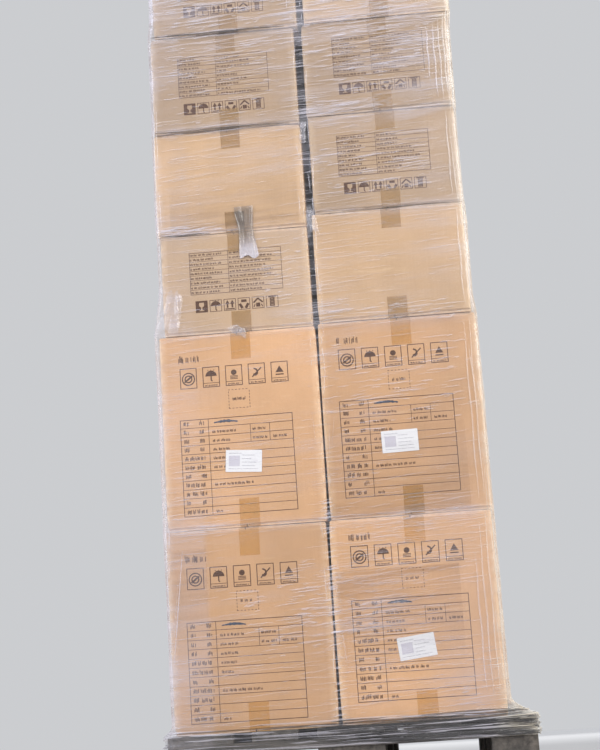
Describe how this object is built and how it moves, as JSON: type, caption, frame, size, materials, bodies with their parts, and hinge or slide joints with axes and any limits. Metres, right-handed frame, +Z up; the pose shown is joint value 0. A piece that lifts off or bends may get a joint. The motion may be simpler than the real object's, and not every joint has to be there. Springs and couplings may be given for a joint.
{
  "type": "stretch wrapped pallet load",
  "caption": "Tall stack of taped cardboard cartons on a four-way wooden pallet, held by clear stretch film wrapped around the load and the pallet deck.",
  "frame": {"origin": "middle of the pallet's underside, on the floor", "axes": "+Z up; X across the pallet's 800 mm side, which is the front and faces -Y; Y along the pallet's 1200 mm side"},
  "size_m": [0.8036, 1.2036, 2.0149],
  "materials": {
    "pallet_timber": "weathered sawn softwood",
    "corrugated_board": "brown kraft corrugated board",
    "packing_tape": "glossy buff polypropylene tape",
    "label_paper": "white label paper",
    "stretch_film": "clear glossy stretch film"
  },
  "bodies": {
    "root": {"deck_board_1": "pallet_timber", "deck_board_2": "pallet_timber", "deck_board_3": "pallet_timber", "deck_board_4": "pallet_timber", "deck_board_5": "pallet_timber", "cross_board_front": "pallet_timber", "cross_board_middle": "pallet_timber", "cross_board_back": "pallet_timber", "block_front_left": "pallet_timber", "block_front_middle": "pallet_timber", "block_front_right": "pallet_timber", "block_middle_left": "pallet_timber", "block_middle_middle": "pallet_timber", "block_middle_right": "pallet_timber", "block_back_left": "pallet_timber", "block_back_middle": "pallet_timber", "block_back_right": "pallet_timber", "bottom_board_left": "pallet_timber", "bottom_board_middle": "pallet_timber", "bottom_board_right": "pallet_timber", "carton_1_left_front": "corrugated_board", "carton_1_left_back": "corrugated_board", "carton_1_right_front": "corrugated_board", "carton_1_right_back": "corrugated_board", "carton_2_left_front": "corrugated_board", "carton_2_left_back": "corrugated_board", "carton_2_right_front": "corrugated_board", "carton_2_right_back": "corrugated_board", "carton_3_left_front": "corrugated_board", "carton_3_left_back": "corrugated_board", "carton_3_right_front": "corrugated_board", "carton_3_right_back": "corrugated_board", "carton_4_left_front": "corrugated_board", "carton_4_left_back": "corrugated_board", "carton_4_right_front": "corrugated_board", "carton_4_right_back": "corrugated_board", "carton_5_left_front": "corrugated_board", "carton_5_left_back": "corrugated_board", "carton_5_right_front": "corrugated_board", "carton_5_right_back": "corrugated_board", "carton_6_left_front": "corrugated_board", "carton_6_left_back": "corrugated_board", "carton_6_right_front": "corrugated_board", "carton_6_right_back": "corrugated_board", "seam_tape_1": "packing_tape", "seam_tape_2": "packing_tape", "seam_tape_3": "packing_tape", "seam_tape_4": "packing_tape", "seam_tape_5": "packing_tape", "seam_tape_6": "packing_tape", "label_tier_2_left": "label_paper", "label_tier_2_right": "label_paper", "label_tier_1_right": "label_paper", "stretch_film": "stretch_film"}
  },
  "joints": []
}
